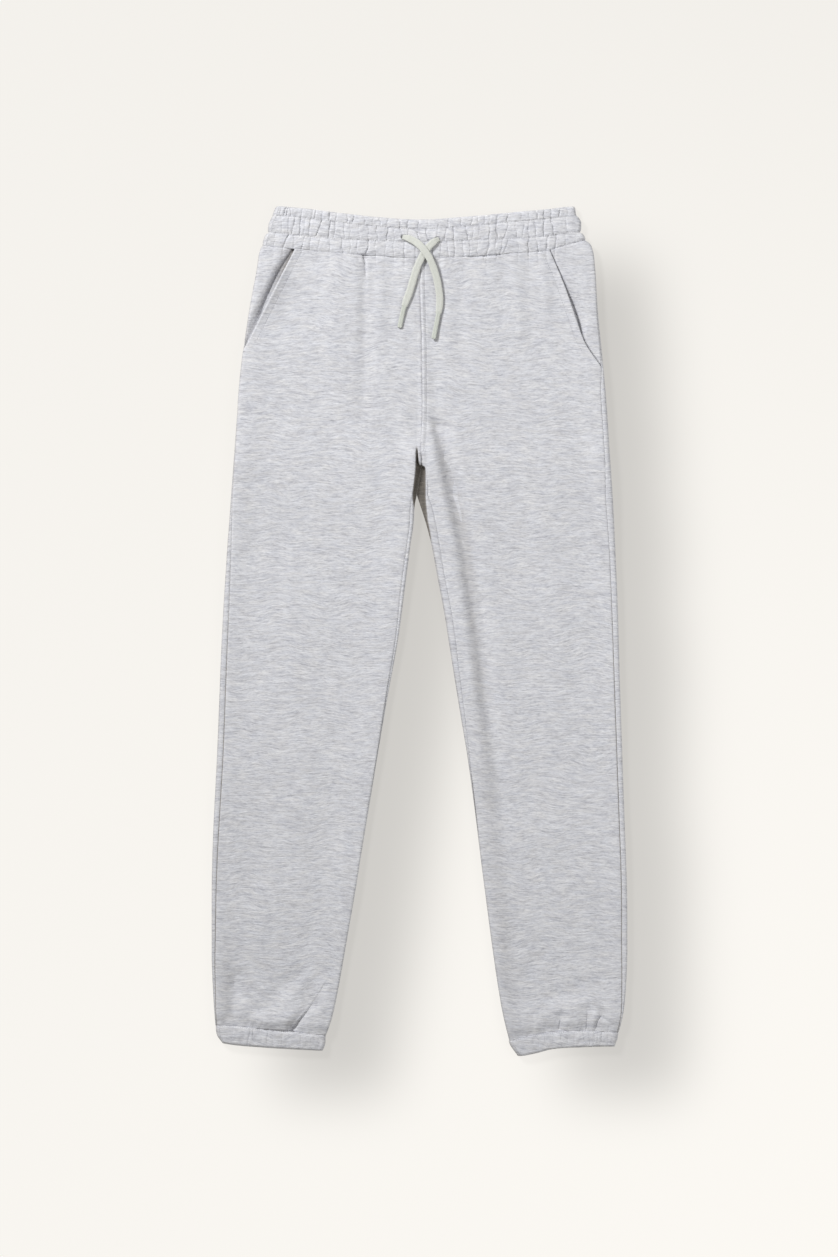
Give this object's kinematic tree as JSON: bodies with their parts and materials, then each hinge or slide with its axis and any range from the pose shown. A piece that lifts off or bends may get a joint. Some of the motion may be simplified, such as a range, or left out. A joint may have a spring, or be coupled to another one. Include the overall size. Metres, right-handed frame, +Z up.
{
  "type": "jogger sweatpants",
  "caption": "Jogger sweatpants laid flat, front up: gathered elastic waistband with a flat drawcord, slanted side pockets, tapered legs and gathered elastic cuffs.",
  "frame": {"origin": "on the floor, below the middle of the outline of the garment without its drawcord ends", "axes": "+Y from the cuffs to the waist, +Z up off the floor, out of the front of the garment, +X to the wearer's left"},
  "size_m": [0.4885, 0.9998, 0.0174],
  "materials": {
    "jersey": "matt heather-grey sweatshirt jersey, smooth knit face",
    "braid": "matt flat braid",
    "sealed": "dense sealed end of the braid"
  },
  "bodies": {
    "root": {"front_right": "jersey", "back_right": "jersey", "hip_right": "jersey", "cuff_right": "jersey", "front_left": "jersey", "back_left": "jersey", "hip_left": "jersey", "cuff_left": "jersey", "waistband": "jersey", "drawcord_right": "braid", "drawcord_left": "braid", "tip_right": "sealed", "tip_left": "sealed"}
  },
  "joints": []
}
